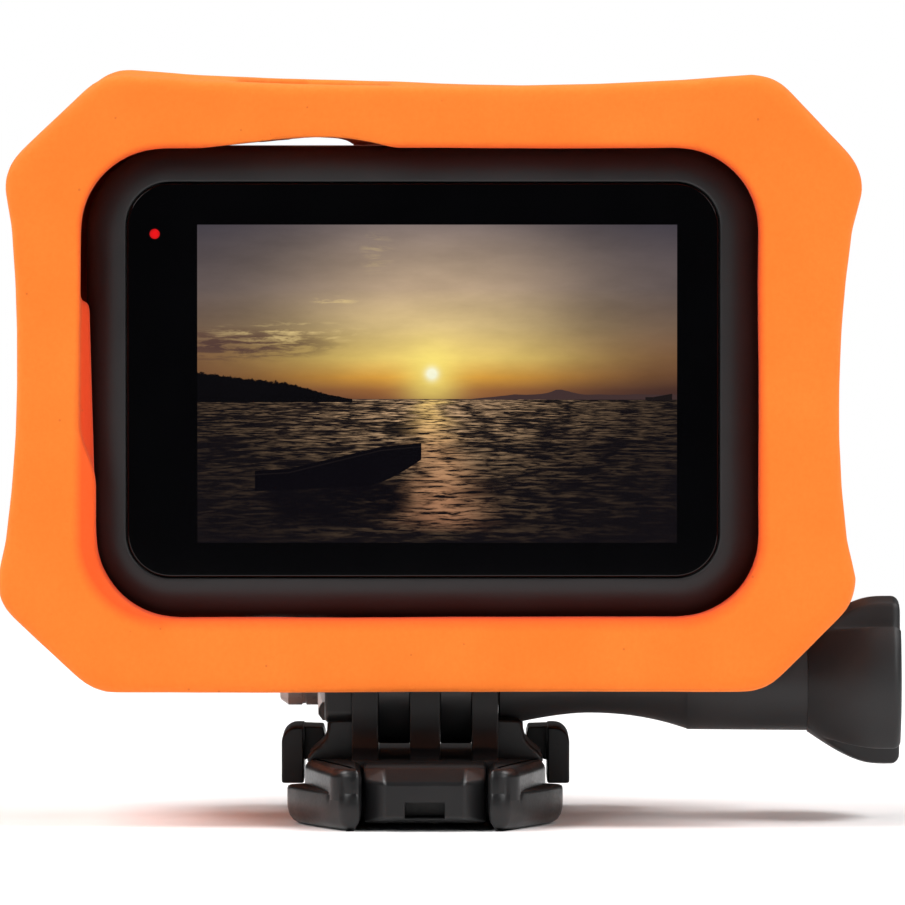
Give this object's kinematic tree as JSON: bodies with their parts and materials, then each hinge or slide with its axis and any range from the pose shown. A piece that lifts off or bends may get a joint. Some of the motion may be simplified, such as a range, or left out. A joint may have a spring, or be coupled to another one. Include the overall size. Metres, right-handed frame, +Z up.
{
  "type": "action camera",
  "caption": "Compact action camera with a rear touch screen, in an octagonal foam float jacket, tilting on a thumb screw above a quick-release buckle.",
  "frame": {"origin": "centre of the buckle's flat underside, straight below the tilt axis", "axes": "+Z up; -Y the way the rear display faces, +Y the way the lens looks; +X along the thumb screw towards its knob"},
  "size_m": [0.0886, 0.041, 0.0736],
  "materials": {
    "case_black": "fine-textured black moulded polycarbonate",
    "cover_glass": "polished black-bordered glass",
    "display": "lit colour display panel",
    "red_lamp": "clear red light pipe",
    "small_screen": "small monochrome display, unlit",
    "lens_glass": "coated optical glass",
    "button_grey": "dark grey satin plastic",
    "switch_metal": "pressed metal",
    "black_metal": "black anodised",
    "fine_mesh": "woven acoustic mesh",
    "seal_rubber": "silicone seal",
    "steel": "stainless steel",
    "circuit_board": "solder-masked board",
    "spreader": "plain sheet",
    "battery_wrap": "printed wrap, left plain",
    "pull_tab": "thin polyester film",
    "card_black": "moulded card",
    "finger_grey": "glass-filled nylon",
    "foam_orange": "closed-cell foam with a soft skin",
    "buckle_black": "semi-gloss black polycarbonate",
    "knob_black": "satin black plastic"
  },
  "bodies": {
    "buckle": {"buckle_base": "buckle_black", "lock_nut": "steel"},
    "camera": {"rear_housing": "case_black", "front_cover": "case_black", "display_glass": "cover_glass", "lcd_panel": "display", "status_led_lens": "red_lamp", "front_window": "cover_glass", "front_status_screen": "small_screen", "front_led_lens": "red_lamp", "shutter_switch": "switch_metal", "mode_switch": "switch_metal", "speaker": "switch_metal", "speaker_grille": "fine_mesh", "microphone_mesh": "fine_mesh", "side_door": "case_black", "door_latch": "button_grey", "door_seal": "seal_rubber", "door_hinge_pin": "steel", "lens_ring": "black_metal", "lens_cover_glass": "lens_glass", "lens_barrel": "black_metal", "lens_front_element": "lens_glass", "lens_rear_elements": "lens_glass", "image_sensor_board": "circuit_board", "main_board": "circuit_board", "board_screws": "steel", "heat_spreader": "spreader", "battery": "battery_wrap", "battery_pull_tab": "pull_tab", "memory_card": "card_black", "usb_port": "switch_metal", "finger_base": "finger_grey", "finger_left": "finger_grey", "finger_right": "finger_grey", "finger_pins": "steel", "float_jacket": "foam_orange"},
    "thumb_screw": {"screw_knob": "knob_black", "screw_bolt": "steel"},
    "shutter": {"shutter_button": "button_grey"},
    "mode": {"mode_button": "button_grey"},
    "arm_left": {"left_arm": "buckle_black"},
    "arm_right": {"right_arm": "buckle_black"}
  },
  "joints": [
    {"name": "camera_tilt", "type": "hinge", "parent": "buckle", "child": "camera", "pos_m": [0, 0, 0.0137], "axis": [1, 0, 0], "range_deg": [-16, 24]},
    {"name": "screw_turn", "type": "hinge", "parent": "buckle", "child": "thumb_screw", "pos_m": [0, 0, 0.0137], "axis": [1, 0, 0], "continuous": true},
    {"name": "shutter_press", "type": "slide", "parent": "camera", "child": "shutter", "axis": [0, 0, -1], "range_m": [0, 0.0006], "stiffness_N_per_m": 1500},
    {"name": "mode_press", "type": "slide", "parent": "camera", "child": "mode", "axis": [1, 0, 0], "range_m": [0, 0.0004], "stiffness_N_per_m": 1500},
    {"name": "left_arm_squeeze", "type": "hinge", "parent": "buckle", "child": "arm_left", "pos_m": [-0.0096, -0.001, 0.0033], "axis": [0, 0, -1], "range_deg": [0, 3.5], "stiffness_Nm_per_rad": 1.6},
    {"name": "right_arm_squeeze", "type": "hinge", "parent": "buckle", "child": "arm_right", "pos_m": [0.0096, -0.001, 0.0033], "axis": [0, 0, 1], "range_deg": [0, 3.5], "stiffness_Nm_per_rad": 1.6}
  ]
}
